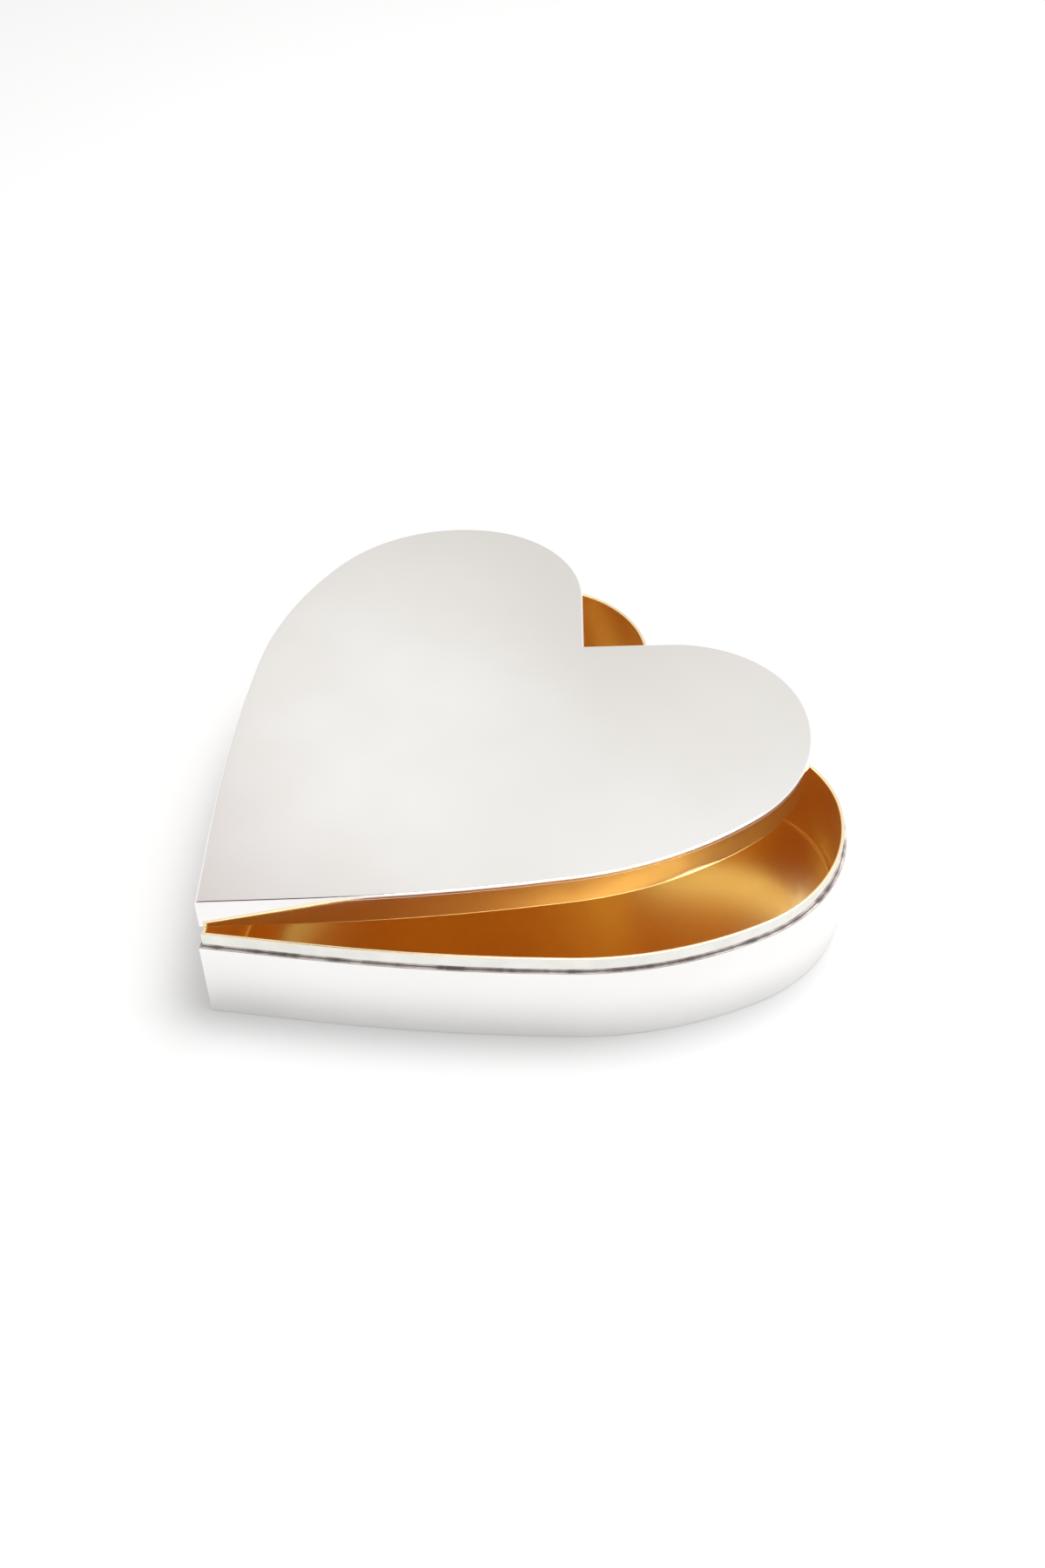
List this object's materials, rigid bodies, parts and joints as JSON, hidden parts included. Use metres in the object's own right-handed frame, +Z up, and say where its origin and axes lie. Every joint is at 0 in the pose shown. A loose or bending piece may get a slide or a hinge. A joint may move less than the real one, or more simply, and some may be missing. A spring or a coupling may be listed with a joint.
{
  "type": "heart-shaped lidded box",
  "caption": "Shallow heart-shaped box of polished silver-coloured metal with a raised inner rim, a gilt inside and a lift-off lid that lies askew on the rim.",
  "frame": {"origin": "on the underside, on the base's axis of symmetry, midway between the heart's tip and the tops of its lobes", "axes": "+Z up, +Y along the base's axis from its tip to its notch, +X to the right when looking along +Y"},
  "size_m": [0.1269, 0.1181, 0.0247],
  "materials": {
    "polished_silver": "polished",
    "gilt": "polished"
  },
  "bodies": {
    "base": {"base_wall_left": "polished_silver", "base_wall_right": "polished_silver", "base_bottom_plate": "polished_silver", "tray_wall_left": "gilt", "tray_wall_right": "gilt", "tray_floor": "gilt"},
    "lid": {"lid_wall_left": "polished_silver", "lid_wall_right": "polished_silver", "lid_top_plate": "polished_silver"}
  },
  "joints": [
    {"name": "lid_lift", "type": "slide", "parent": "base", "child": "lid", "axis": [0, 0, 1], "range_m": [0, 0.05]}
  ]
}
